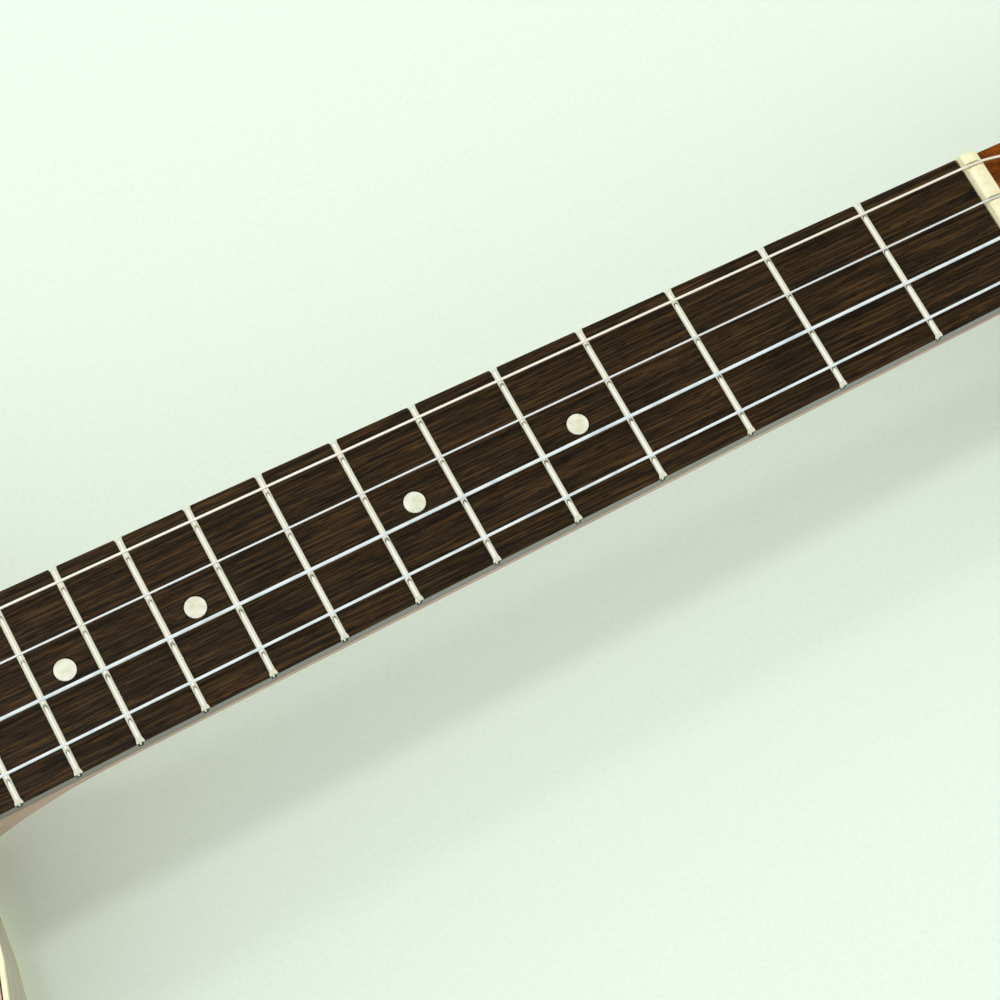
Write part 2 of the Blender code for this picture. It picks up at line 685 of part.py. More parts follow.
def make_fingerboard():
    """The side view, with a slot for each fret, carried across the board's taper, and pockets for the dots."""
    slot_half = FRET_TANG_WIDTH / 2 + GAP
    slot_floor = BOARD_TOP - FRET_TANG_DEPTH - GAP
    side_view = [(GAP, BOARD_BOTTOM), (GAP, BOARD_TOP)]
    for number in range(1, FRET_COUNT + 1):
        s = fret_distance(number)
        side_view += [(s - slot_half, BOARD_TOP), (s - slot_half, slot_floor),
                      (s + slot_half, slot_floor), (s + slot_half, BOARD_TOP)]
    side_view += [(BOARD_LENGTH, BOARD_TOP), (BOARD_LENGTH, BOARD_BOTTOM)]
    rings = [[(x_of(s), side * board_half_width(s), z) for s, z in side_view] for side in (-1, 1)]
    board = loft("fingerboard", rings, rosewood(), smooth=False)
    pockets = []
    for number in DOT_FRETS:
        centre = dot_centre(number)
        pockets.append(cylinder_shape(centre - Vector((0, 0, DOT_DEPTH + GAP)), centre + Vector((0, 0, DOT_DEPTH)),
                                      DOT_RADIUS + GAP))
    cut(board, "dot_pockets", pockets)


def dot_centre(number):
    s = (fret_distance(number - 1) + fret_distance(number)) / 2
    return Vector((x_of(s), 0, BOARD_TOP))


def make_dots():
    for number in DOT_FRETS:
        centre = dot_centre(number)
        low, high = cylinder_points(centre - Vector((0, 0, DOT_DEPTH)), centre, DOT_RADIUS, HOLE_SIDES)
        loft(f"dot_{number:02d}", [low, high], pearl())


CROWN_STEPS = 6


def make_frets():
    """Each fret is drawn wire: a half-round crown over a thin tang, cut to the board's width with bevelled ends."""
    seat = BOARD_TOP + GAP
    section = []
    for i in range(CROWN_STEPS + 1):
        a = math.pi * i / CROWN_STEPS
        section.append((FRET_CROWN_WIDTH / 2 * math.cos(a), seat + FRET_CROWN_HEIGHT * math.sin(a)))
    tang = BOARD_TOP - FRET_TANG_DEPTH
    half = FRET_TANG_WIDTH / 2
    section += [(-half, seat), (-half, tang), (half, tang), (half, seat)]
    for number in range(1, FRET_COUNT + 1):
        s = fret_distance(number)
        rings = []
        for side in (-1, 1):
            ring = []
            for along, z in section:
                reach = board_half_width(s) - max(0.0, z - seat) * math.tan(FRET_END_BEVEL)
                ring.append((x_of(s) + along, side * reach, z))
            rings.append(ring)
        loft(f"fret_{number:02d}", rings, nickel_silver())


# Strings and what they bear on


def string_y(index, s):
    """Where a string crosses, by its order from the bass side, at a distance from the nut."""
    pitch = STRING_PITCH_NUT + (STRING_PITCH_SADDLE - STRING_PITCH_NUT) * s / SADDLE_S
    return STRING_SHIFT + ((len(STRINGS) - 1) / 2 - index) * pitch


STRING_AT_NUT = NUT_SLOT_ABOVE_BOARD + GAP


def make_nut():
    """Bone, rounded along its top, with a slot for each string."""
    top = BOARD_TOP + NUT_ABOVE_BOARD
    half = BOARD_NUT_WIDTH / 2
    round_off = 0.3 * NUT_THICKNESS
    drop = round_off * math.sin(HEAD_ANGLE) + GAP
    section = [(0, BOARD_BOTTOM), (0, top - round_off), (0.3 * round_off, top - 0.3 * round_off), (round_off, top),
               (NUT_THICKNESS - round_off, top - drop), (NUT_THICKNESS, top - round_off - drop),
               (NUT_THICKNESS, BOARD_BOTTOM)]
    rings = [[(NUT_X + along, y, z) for along, z in section] for y in (-half, half)]
    nut = loft("nut", rings, bone(), smooth=False)
    slots = []
    for index, (name, diameter) in enumerate(STRINGS):
        floor = BOARD_TOP + NUT_SLOT_ABOVE_BOARD
        height = 3 * NUT_ABOVE_BOARD
        axes = (Vector((math.cos(HEAD_ANGLE), 0, -math.sin(HEAD_ANGLE))), ACROSS, HEAD_NORMAL)
        start = Vector((NUT_X, string_y(index, 0), floor))
        slots.append(box_shape(start + axes[0] * NUT_THICKNESS / 2 + axes[2] * height / 2,
                               (3 * NUT_THICKNESS, diameter + 2 * GAP, height), axes=axes))
    cut(nut, "string_slots", slots)


def make_bridge():
    """A rosewood block with wings, a slot across it for the saddle, and a slot at the rear for each knotted string."""
    seat = BODY_DEPTH + GAP
    front, rear = SADDLE_S - BRIDGE_FRONT, SADDLE_S + BRIDGE_REAR
    block, half = BRIDGE_BLOCK_WIDTH / 2, BRIDGE_WIDTH / 2
    right = ((half, 0.7 * BRIDGE_WING_HEIGHT), (block + BRIDGE_SHOULDER, BRIDGE_WING_HEIGHT), (block, BRIDGE_HEIGHT))
    rings = []
    for y, height in [(-y, height) for y, height in right] + list(right[::-1]):
        chamfer = 0.3 * height
        rings.append([(x_of(front), y, seat), (x_of(front), y, seat + height - chamfer),
                      (x_of(front + chamfer), y, seat + height), (x_of(rear - 0.4 * chamfer), y, seat + height),
                      (x_of(rear), y, seat + height - 0.4 * chamfer), (x_of(rear), y, seat)])
    bridge = loft("bridge", rings, rosewood(), smooth=False)
    top = seat + BRIDGE_HEIGHT
    saddle_slot = box_shape((x_of(SADDLE_S), 0, top),
                            (SADDLE_THICKNESS + 2 * GAP, SADDLE_LENGTH + 2 * GAP, 2 * (SADDLE_SLOT_DEPTH + GAP)))
    groove_width = 3 * STRING_PITCH_SADDLE + 2 * KNOT_GROOVE_DEPTH
    groove = box_shape((x_of(rear), STRING_SHIFT, seat), (2 * KNOT_GROOVE_DEPTH, groove_width, 2 * KNOT_GROOVE_HEIGHT))
    cut(bridge, "saddle_slot", [saddle_slot])
    cut(bridge, "knot_groove", [groove])
    slots = []
    for index, (name, diameter) in enumerate(STRINGS):
        slots.append(box_shape((x_of(rear), string_y(index, SADDLE_S), top),
                               (2 * STRING_SLOT_LENGTH, diameter + 2 * GAP, 2 * BRIDGE_HEIGHT - KNOT_GROOVE_HEIGHT)))
    cut(bridge, "string_slots", slots)


def make_saddle():
    bottom = BODY_DEPTH + GAP + BRIDGE_HEIGHT - SADDLE_SLOT_DEPTH
    crest = BOARD_TOP + STRING_AT_SADDLE - GAP
    half = SADDLE_THICKNESS / 2
    section = [(-half, bottom)]
    steps = 6
    for i in range(steps + 1):
        a = math.pi * i / steps
        section.append((-half * math.cos(a), crest - half + half * math.sin(a)))
    section.append((half, bottom))
    rings = [[(x_of(SADDLE_S) + along, y, z) for along, z in section] for y in (-SADDLE_LENGTH / 2, SADDLE_LENGTH / 2)]
    loft("saddle", rings, bone())


def post_place(index):
    """Row and side of a string's post: the outer strings go to the nearer row."""
    return TUNER_ROWS[0 if index in (0, len(STRINGS) - 1) else 1], 1 if index < len(STRINGS) / 2 else -1


def winding(index, radius):
    """Points of the string's turns on its post, climbing from where the string meets the post's inner side."""
    row, side = post_place(index)
    around = POST_RADIUS + GAP + radius
    out = side * POST_SPREAD - string_y(index, 0)
    touch = math.atan2(out, row) - side * (math.pi / 2 + math.asin(around / math.hypot(row, out)))
    pitch = 2 * radius + WINDING_GAP
    points = []
    for i in range(int(WINDING_TURNS * WINDING_STEPS) + 1):
        a = touch + side * math.tau * i / WINDING_STEPS
        w = FACE_LEVEL + WINDING_START + pitch * i / WINDING_STEPS
        points.append(on_head(row + around * math.cos(a), side * POST_SPREAD + around * math.sin(a), w))
    return points


def make_string(index, name, diameter):
    """One string, knotted under the bridge's ledge, over saddle and nut, and wound on its post."""
    radius = diameter / 2
    y = string_y(index, SADDLE_S)
    bridge_top = BODY_DEPTH + GAP + BRIDGE_HEIGHT
    knot_top = BODY_DEPTH + GAP + KNOT_GROOVE_HEIGHT - GAP
    down_s = SADDLE_S + BRIDGE_REAR - KNOT_GROOVE_DEPTH / 2
    rim_s = down_s - 2 * STRING_BEND
    rim_z = bridge_top + GAP + radius
    saddle_z = BOARD_TOP + STRING_AT_SADDLE + radius
    nut_z = BOARD_TOP + STRING_AT_NUT + radius
    through_nut = NUT_THICKNESS + GAP
    route = [(down_s, y, knot_top - KNOT_HEIGHT, 1), (down_s, y, knot_top - 0.75 * KNOT_HEIGHT, KNOT_SWELL),
             (down_s, y, knot_top - 0.25 * KNOT_HEIGHT, KNOT_SWELL), (down_s, y, knot_top, 1),
             (down_s, y, bridge_top - STRING_BEND, 1), (down_s - 0.4 * STRING_BEND, y, bridge_top, 1),
             (rim_s, y, rim_z, 1), (SADDLE_S, y, saddle_z, 1), (0, string_y(index, 0), nut_z, 1),
             (-through_nut, string_y(index, 0), nut_z - through_nut * math.tan(HEAD_ANGLE), 1)]
    points = [((x_of(s), across, z), swell) for s, across, z, swell in route]
    on_post = winding(index, radius)
    points += [(tuple(p), 1) for p in on_post]
    least_gap = min((a - b).length for a, b in zip(on_post, on_post[WINDING_STEPS:])) - diameter
    print(f"string_{name}: least gap between its turns {1000 * least_gap:.2f} mm")
    curve = bpy.data.curves.new(f"string_{name}", "CURVE")
    curve.dimensions = "3D"
    curve.bevel_depth = radius
    curve.bevel_resolution = 1
    curve.use_fill_caps = True
    spline = curve.splines.new("POLY")
    spline.points.add(len(points) - 1)
    for point, (place, swell) in zip(spline.points, points):
        point.co = (*place, 1)
        point.radius = swell
    curve.materials.append(wound_wire() if index < 2 else nylon())
    made = bpy.data.objects.new(f"string_{name}", curve)
    bpy.context.scene.collection.objects.link(made)


# Tuners


def wheel_points(level, twist):
    """One face of the toothed wheel, four points to a tooth, in the head's (u, y) plane round the post."""
    root = WHEEL_PITCH_RADIUS - TOOTH_ADDENDUM - TOOTH_CLEARANCE
    tip = WHEEL_PITCH_RADIUS + TOOTH_ADDENDUM
    tooth = math.tau / WHEEL_TEETH
    foot, crest = WHEEL_ROOT_SHARE * tooth / 2, WHEEL_TIP_SHARE * tooth / 2
    ring = []
    for i in range(WHEEL_TEETH):
        middle = tooth * i + twist
        for radius, offset in ((root, -foot), (tip, -crest), (tip, crest), (root, foot)):
            ring.append((radius * math.cos(middle + offset), radius * math.sin(middle + offset), level))
    return ring


def make_post(name, u, side):
    """The string post, turned in one with the arbor that carries the toothed wheel behind the head."""
    y = side * POST_SPREAD
    tip = FACE_LEVEL + POST_HEIGHT
    collar = FACE_LEVEL + GAP
    end = WHEEL_LEVEL - WHEEL_THICKNESS / 2 - POST_TIP_CHAMFER
    profile = ((POST_RADIUS - POST_TIP_CHAMFER, tip), (POST_RADIUS, tip - POST_TIP_CHAMFER),
               (POST_RADIUS, collar + COLLAR_HEIGHT), (COLLAR_RADIUS, collar + COLLAR_HEIGHT),
               (COLLAR_RADIUS, collar), (POST_RADIUS, collar), (POST_RADIUS, HUB_LEVEL), (COLLAR_RADIUS, HUB_LEVEL),
               (COLLAR_RADIUS, WHEEL_LEVEL), (POST_RADIUS, WHEEL_LEVEL),
               (POST_RADIUS, end), (POST_RADIUS - POST_TIP_CHAMFER, end - POST_TIP_CHAMFER))
    turns = [math.tau * i / POST_SIDES for i in range(POST_SIDES)]
    rings = [[on_head(u + radius * math.cos(a), y + radius * math.sin(a), w) for a in turns] for radius, w in profile]
    post = loft(name, rings, chrome())
    lead_angle = WORM_LEAD / (math.tau * WORM_PITCH_RADIUS)
    twist = lead_angle * WHEEL_THICKNESS / 2 / WHEEL_PITCH_RADIUS
    wheel = []
    for level, turn in ((-WHEEL_THICKNESS / 2, -twist), (WHEEL_THICKNESS / 2, twist)):
        wheel += [on_head(u + a, y + b, WHEEL_LEVEL + w) for a, b, w in wheel_points(level, turn)]
    count = 4 * WHEEL_TEETH
    faces = [(i, (i + 1) % count, count + (i + 1) % count, count + i) for i in range(count)]
    faces += [tuple(range(count)), tuple(range(count, 2 * count))]
    fuse(post, "wheel", [(wheel, faces)])
    hole_w = tip - STRING_HOLE_DROP
    cut(post, "string_hole", [cylinder_shape(on_head(u - 2 * POST_RADIUS, y, hole_w),
                                             on_head(u + 2 * POST_RADIUS, y, hole_w), STRING_HOLE_RADIUS, 8)])


def worm_thread(u, y):
    """The worm's thread, as points and faces: a trapezoid ridge that advances one lead along +Y for each turn by
    the right-hand rule. Its middle lies on the side away from the wheel, so a gap faces the wheel's tooth."""
    crest = WORM_PITCH_RADIUS + TOOTH_ADDENDUM
    foot = WORM_CORE_RADIUS - TOOTH_CLEARANCE
    wide, narrow = THREAD_ROOT_SHARE * WORM_LEAD / 2, THREAD_CREST_SHARE * WORM_LEAD / 2
    section = ((foot, -wide), (crest, -narrow), (crest, narrow), (foot, wide))
    count = WORM_TURNS * THREAD_STEPS
    points = []
    for i in range(count + 1):
        turn = math.tau * (i - count / 2) / THREAD_STEPS
        for radius, offset in section:
            points.append(on_head(u + radius * math.cos(turn), y + WORM_LEAD * turn / math.tau + offset,
                                  WHEEL_LEVEL - radius * math.sin(turn)))
    faces = [(0, 1, 2, 3), tuple(4 * count + k for k in range(4))]
    for i in range(count):
        for k in range(4):
            m = (k + 1) % 4
            faces.append((4 * i + k, 4 * i + m, 4 * (i + 1) + m, 4 * (i + 1) + k))
    return points, faces


BUTTON_STEPS = 12


def make_key(name, u, side):
    """Worm, shaft and button in one turning piece: the worm lies behind the head and the button stands beside it."""
    y = side * POST_SPREAD
    worm_u = u + WORM_OFFSET
    inner_end = y - side * (EAR_SPREAD + EAR_THICKNESS / 2 + GAP)
    button_start = side * (HEAD_WIDTH / 2 + BUTTON_CLEARANCE)
    button_end = button_start + side * BUTTON_LENGTH
    shaft_end = button_start + side * BUTTON_SOCKET
    core = EAR_SPREAD - EAR_THICKNESS / 2 - GAP
    profile = ((SHAFT_RADIUS, inner_end), (SHAFT_RADIUS, y - side * core), (WORM_CORE_RADIUS, y - side * core),
               (WORM_CORE_RADIUS, y + side * core), (SHAFT_RADIUS, y + side * core), (SHAFT_RADIUS, shaft_end))
    turns = [math.tau * (i + 0.5) / THREAD_STEPS for i in range(THREAD_STEPS)]
    rings = [[on_head(worm_u + radius * math.cos(a), across, WHEEL_LEVEL + radius * math.sin(a)) for a in turns]
             for radius, across in profile]
    key = loft(name, rings, chrome())
    fuse(key, "thread", [worm_thread(worm_u, y)])
    button = []
    levels = ((-0.5, 0.75), (-0.25, 1.0), (0.25, 1.0), (0.5, 0.75))
    for level, share in levels:
        for i in range(BUTTON_STEPS):
            a = math.tau * (i + 0.5) / BUTTON_STEPS
            along = (button_start + button_end) / 2 + share * BUTTON_LENGTH / 2 * math.cos(a)
            out = share * BUTTON_WIDTH / 2 * math.sin(a)
            button.append(on_head(worm_u + out, along, WHEEL_LEVEL + level * BUTTON_THICKNESS))
    faces = [tuple(range(BUTTON_STEPS)), tuple(range(3 * BUTTON_STEPS, 4 * BUTTON_STEPS))]
    for j in range(3):
        for i in range(BUTTON_STEPS):
            k = (i + 1) % BUTTON_STEPS
            faces.append((j * BUTTON_STEPS + i, j * BUTTON_STEPS + k, (j + 1) * BUTTON_STEPS + k,
                          (j + 1) * BUTTON_STEPS + i))
    fuse(key, "button", [(button, faces)])


def make_plate(name, u, side):
    """A folded plate screwed behind the head: a base with the post's hole, and two ears that carry the worm's shaft."""
    y = side * POST_SPREAD
    worm_u = u + WORM_OFFSET
    base_bottom = PLATE_LEVEL - PLATE_THICKNESS
    centre_u = (u + worm_u) / 2
    axes = (HEAD_ALONG, ACROSS, HEAD_NORMAL)
    points, faces = box_shape(on_head(centre_u, y, (PLATE_LEVEL + base_bottom) / 2),
                              (PLATE_LENGTH, PLATE_WIDTH, PLATE_THICKNESS), axes=axes)
    plate = add_object(name, closed_mesh(name, points, faces), chrome())
    reach = SHAFT_RADIUS + GAP + EAR_WALL
    ear_top, ear_bottom = base_bottom + PLATE_THICKNESS / 2, WHEEL_LEVEL - reach
    ears = []
    for across in (y - EAR_SPREAD, y + EAR_SPREAD):
        ears.append(box_shape(on_head(worm_u, across, (ear_bottom + ear_top) / 2),
                              (2 * reach, EAR_THICKNESS, ear_top - ear_bottom), axes=axes))
    fuse(plate, "ears", ears)
    shaft_hole = cylinder_shape(on_head(worm_u, y - PLATE_WIDTH, WHEEL_LEVEL),
                                on_head(worm_u, y + PLATE_WIDTH, WHEEL_LEVEL), SHAFT_RADIUS + GAP, POST_SIDES)
    cut(plate, "post_hole", [post_bore(u, side)])
    cut(plate, "shaft_hole", [shaft_hole])


def make_tuners():
    for index, (name, diameter) in enumerate(STRINGS):
        u, side = post_place(index)
        make_plate(f"tuner_plate_{name}", u, side)
        make_post(f"tuner_post_{name}", u, side)
        make_key(f"tuner_key_{name}", u, side)


def main():
    for old in list(bpy.data.objects):
        bpy.data.objects.remove(old)
    make_plates()
    make_ribs()
    make_bindings()
    make_linings()
    make_blocks()
    make_braces()
    make_neck()
    make_veneer()
    make_heel_cap()
    make_fingerboard()
    make_dots()
    make_frets()
    make_nut()
    make_bridge()
    make_saddle()
    for index, (name, diameter) in enumerate(STRINGS):
        make_string(index, name, diameter)
    make_tuners()


main()
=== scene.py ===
"""A baritone ukulele on its back on a pale table, dressed piece by piece round its construction model.

The neck runs along +X to the head, +Y is the bass side and +Z is up. All sizes are in metres. Each section
below holds one piece or group of like pieces, in the order in which the instrument is put together."""

import json
import math

import bmesh
import bpy
import numpy as np
from mathutils import Matrix, Vector


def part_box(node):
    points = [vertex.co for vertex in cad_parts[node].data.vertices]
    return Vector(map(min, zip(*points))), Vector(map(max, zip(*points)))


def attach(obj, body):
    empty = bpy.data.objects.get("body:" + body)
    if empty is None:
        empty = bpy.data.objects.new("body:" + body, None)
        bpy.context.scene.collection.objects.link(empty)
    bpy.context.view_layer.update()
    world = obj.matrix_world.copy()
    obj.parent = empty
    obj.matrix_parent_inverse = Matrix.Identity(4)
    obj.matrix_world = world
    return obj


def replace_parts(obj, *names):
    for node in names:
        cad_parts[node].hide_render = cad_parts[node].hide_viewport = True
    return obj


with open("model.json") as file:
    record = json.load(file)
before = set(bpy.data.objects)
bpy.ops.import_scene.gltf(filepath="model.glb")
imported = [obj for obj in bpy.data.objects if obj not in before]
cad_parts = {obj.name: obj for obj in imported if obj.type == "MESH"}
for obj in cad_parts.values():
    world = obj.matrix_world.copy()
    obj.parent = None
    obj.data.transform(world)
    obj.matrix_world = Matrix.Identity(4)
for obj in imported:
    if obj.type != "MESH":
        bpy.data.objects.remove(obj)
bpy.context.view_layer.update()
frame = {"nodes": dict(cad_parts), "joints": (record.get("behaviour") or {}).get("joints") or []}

# Camera
# It looks down on the neck from the treble side, near the body, with the head at the upper right of the
# picture. Its place and turn are those at which the frets' spacing and slant agree with the photograph.
CAMERA_PLACE = Vector((-0.03502, -0.18180, 0.67862))
CAMERA_RIGHT = Vector((0.87753, -0.47384, 0.07357)).normalized()
CAMERA_UP = Vector((0.42360, 0.83792, 0.34417)).normalized()
LENS_MM = 100.6
SENSOR_MM = 36

camera = bpy.data.objects.new("camera", bpy.data.cameras.new("camera"))
camera.data.lens = LENS_MM
camera.data.sensor_width = SENSOR_MM
camera.matrix_world = Matrix.Translation(CAMERA_PLACE) @ Matrix(
    (CAMERA_RIGHT, CAMERA_UP, CAMERA_RIGHT.cross(CAMERA_UP))).transposed().to_4x4()
bpy.context.scene.collection.objects.link(camera)
bpy.context.scene.camera = camera
bpy.context.scene.view_settings.view_transform = "Standard"


# Table
# A sheet of matt paper laid on a table, pale with a slight green cast. Its fibres give it a faint mottle,
# about a millimetre across.
TABLE_SIZE = 6.0
PAPER_COLOURS = ("e3f3e4", "e8f7e9")
PAPER_MOTTLE = 0.0012


def linear(code):
    """An sRGB hex colour as linear light: the piecewise curve of the sRGB standard, channel by channel."""
    share = np.array([int(code[i:i + 2], 16) / 255 for i in (0, 2, 4)])
    light = np.where(share <= 0.04045, share / 12.92, ((share + 0.055) / 1.055) ** 2.4)
    return (*map(float, light), 1.0)


def add_node(tree, kind, inputs=None, **settings):
    """A shader node with its settings. Each input is given a value, or is linked where a socket is given."""
    node = tree.nodes.new(kind)
    for name, value in settings.items():
        setattr(node, name, value)
    for name, value in (inputs or {}).items():
        if isinstance(value, bpy.types.NodeSocket):
            tree.links.new(value, node.inputs[name])
        else:
            node.inputs[name].default_value = value
    return node


def start_material(name, **values):
    """A new material with its Principled shader's sockets set. Returns it, its tree, its shader and the
    Object coordinates that its patterns read."""
    made = bpy.data.materials.new(name)
    made.use_nodes = True
    tree = made.node_tree
    shader = tree.nodes["Principled BSDF"]
    for socket, value in values.items():
        shader.inputs[socket.replace("_", " ")].default_value = value
    place = add_node(tree, "ShaderNodeTexCoord").outputs["Object"]
    return made, tree, shader, place


def ramp(tree, factor, stops):
    """A colour ramp with a stop at each (position, hex colour)."""
    node = add_node(tree, "ShaderNodeValToRGB", {"Fac": factor})
    elements = node.color_ramp.elements
    for element, (position, code) in zip(elements, (stops[0], stops[-1])):
        element.position = position
        element.color = linear(code)
    for position, code in stops[1:-1]:
        elements.new(position).color = linear(code)
    return node.outputs["Color"]


def add_piece(name, mesh, material, body="root", slot=None):
    """Links a mesh as a piece in the given material. Where a slot is given, the piece rides on a body."""
    mesh.materials.clear()
    mesh.materials.append(material)
    made = bpy.data.objects.new(name, mesh)
    bpy.context.scene.collection.objects.link(made)
    if slot:
        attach(made, body)
    return made


paper, tree, shader, place = start_material("matt_paper", Roughness=0.9)
mottle = add_node(tree, "ShaderNodeTexNoise", {"Vector": place, "Scale": 1 / PAPER_MOTTLE, "Detail": 2.0})
tree.links.new(ramp(tree, mottle.outputs["Fac"], ((0.3, PAPER_COLOURS[0]), (0.7, PAPER_COLOURS[1]))),
               shader.inputs["Base Color"])
sheet = bpy.data.meshes.new("table")
reach = TABLE_SIZE / 2
corners = [(-reach, -reach, 0), (reach, -reach, 0), (reach, reach, 0), (-reach, reach, 0)]
sheet.from_pydata(corners, [], [(0, 1, 2, 3)])
add_piece("table", sheet, paper)


# Light
# Two small lamps stand nearly overhead, a little to the bass side, so that the neck casts a light shadow
# directly below itself in the picture and a fainter one beyond. An even white sky gives most of the light.
LAMP_HEIGHT = 1.75
LAMPS = (("ceiling_lamp", -0.10, 0.22, 0.14, 4.2), ("side_lamp", -0.25, 0.80, 0.16, 2.6))  # x, y, size, watts
SKY_STRENGTH = 0.93

for name, x, y, size, watts in LAMPS:
    lamp = bpy.data.objects.new(name, bpy.data.lights.new(name, "AREA"))
    lamp.data.energy = watts
    lamp.data.size = size
    towards = Vector((x, y, LAMP_HEIGHT))
    lamp.matrix_world = Matrix.Translation(towards) @ towards.to_track_quat("Z", "Y").to_matrix().to_4x4()
    bpy.context.scene.collection.objects.link(lamp)
world = bpy.data.worlds.new("even_sky")
world.use_nodes = True
world.node_tree.nodes["Background"].inputs["Color"].default_value = (1, 1, 1, 1)
world.node_tree.nodes["Background"].inputs["Strength"].default_value = SKY_STRENGTH
bpy.context.scene.world = world


# Body: plates, ribs, linings, blocks and braces
# The box is bent and glued from mahogany about two millimetres thick, stained amber on the face, under a
# gloss varnish. The sides and back are coloured browner and greyer than the face: partly the wood's own
# colour and partly a painted reflection of the pale floor. Inside, the linings and blocks are bare wood, and
# the braces are spruce.
FACE_COLOURS = ("8c4402", "bd6a04", "d98c14")
# The side colours are partly the mahogany's own colour and partly a painted reflection of the pale floor,
# which makes them greyer and paler.
SIDE_COLOURS = ("76582c", "967642", "ae8e58")
INSIDE_COLOURS = ("7c5a38", "9c7650", "b8946c")
SPRUCE_COLOURS = ("b89468", "d0b080", "e2c89c")
STREAK_WIDTH = 0.0028          # broad bands of light and dark wood
STREAK_LENGTH = 0.070
FIBRE_WIDTH = 0.00035
FIBRE_LENGTH = 0.012
PORE_WIDTH = 0.00022           # cut vessels, which show as short dark flecks
PORE_LENGTH = 0.0040
PORE_SHARE = 0.36              # noise level under which a fleck shows
RIB_RADIUS = 0.14              # about the body's mean radius, which turns an angle into a length of rib

body_middle = sum(corner.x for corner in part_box("soundboard")) / 2


def wood(name, colours, roughness, coat=0.0, streak=STREAK_WIDTH, run=STREAK_LENGTH, pores=0.5, gloss=0.5,
         relief=0.00004, grain="X"):
    """Wood whose grain runs along an axis, or round the body's outline: stretched noise in three sizes, for
    streaks, fibres and pores. The streaks choose among the colours, the fibres and pores darken them, and
    the pores are slightly sunk."""
    made, tree, shader, place = start_material(name, Roughness=roughness, Specular_IOR_Level=gloss,
                                                 Coat_Weight=coat, Coat_Roughness=0.12)
    if grain == "Y":
        quarter_turn = (0, 0, math.pi / 2)
        place = add_node(tree, "ShaderNodeMapping", {"Vector": place, "Rotation": quarter_turn}).outputs[0]
    if grain == "round":
        from_middle = add_node(tree, "ShaderNodeVectorMath", operation="SUBTRACT")
        tree.links.new(place, from_middle.inputs[0])
        from_middle.inputs[1].default_value = (body_middle, 0, 0)
        parts = add_node(tree, "ShaderNodeSeparateXYZ", {"Vector": from_middle.outputs[0]}).outputs
        angle = add_node(tree, "ShaderNodeMath", operation="ARCTAN2")
        tree.links.new(parts["Y"], angle.inputs[0])
        tree.links.new(parts["X"], angle.inputs[1])
        along = add_node(tree, "ShaderNodeMath", operation="MULTIPLY")
        tree.links.new(angle.outputs[0], along.inputs[0])
        along.inputs[1].default_value = RIB_RADIUS
        place = add_node(tree, "ShaderNodeCombineXYZ", {"X": along.outputs[0], "Y": parts["Z"]}).outputs[0]
    noises = []
    for width, length, detail in ((streak, run, 4.0), (FIBRE_WIDTH, FIBRE_LENGTH, 2.0),
                                  (PORE_WIDTH, PORE_LENGTH, 0.0)):
        stretched = add_node(tree, "ShaderNodeMapping",
                             {"Vector": place, "Scale": (1 / length, 1 / width, 1 / width)}).outputs[0]
        noises.append(add_node(tree, "ShaderNodeTexNoise",
                               {"Vector": stretched, "Scale": 1.0, "Detail": detail}).outputs["Fac"])
    streaks, fibres, vessels = noises
    colour = ramp(tree, streaks, ((0.32, colours[0]), (0.5, colours[1]), (0.68, colours[2])))
    fibre_shade = ramp(tree, fibres, ((0.3, "c8c8c8"), (0.6, "ffffff")))
    pore_shade = ramp(tree, vessels, ((PORE_SHARE - 0.05, "404040"), (PORE_SHARE + 0.02, "ffffff")))
    for shade, strength in ((fibre_shade, 0.8), (pore_shade, pores)):
        mix = add_node(tree, "ShaderNodeMix", data_type="RGBA", blend_type="MULTIPLY")
        mix.inputs[0].default_value = strength
        tree.links.new(colour, mix.inputs[6])
        tree.links.new(shade, mix.inputs[7])
        colour = mix.outputs[2]
    tree.links.new(colour, shader.inputs["Base Color"])
    bump = add_node(tree, "ShaderNodeBump", {"Height": pore_shade, "Distance": relief, "Strength": 0.6})
    tree.links.new(bump.outputs["Normal"], shader.inputs["Normal"])
    return made


def dress(material, *nodes):
    """Gives construction nodes that stay as they are a finished material."""
    for node in nodes:
        mesh = frame["nodes"][node].data
        mesh.materials.clear()
        mesh.materials.append(material)


MERGE = 0.000001
SMOOTH_UNDER = math.radians(35)


def whole_copy(node, material, slot, rounding=0.0, body="root", steps=2):
    """A copy of a construction node whose loose triangles are merged into a smooth skin, with its sharp edges
    rounded by a bevel. It stands in the node's place."""
    mesh = frame["nodes"][node].data.copy()
    work = bmesh.new()
    work.from_mesh(mesh)
    bmesh.ops.remove_doubles(work, verts=work.verts, dist=MERGE)
    bmesh.ops.dissolve_limit(work, angle_limit=math.radians(0.5), verts=work.verts, edges=work.edges)
    work.to_mesh(mesh)
    work.free()
    mesh.shade_smooth()
    mesh.set_sharp_from_angle(angle=SMOOTH_UNDER)
    made = add_piece(node + "_finish", mesh, material, body, slot)
    if rounding:
        bevel = made.modifiers.new("rounding", "BEVEL")
        bevel.width = rounding
        bevel.segments = steps
        bevel.limit_method = "ANGLE"
        bevel.angle_limit = SMOOTH_UNDER
        bevel.harden_normals = True
    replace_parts(made, node)
    return made


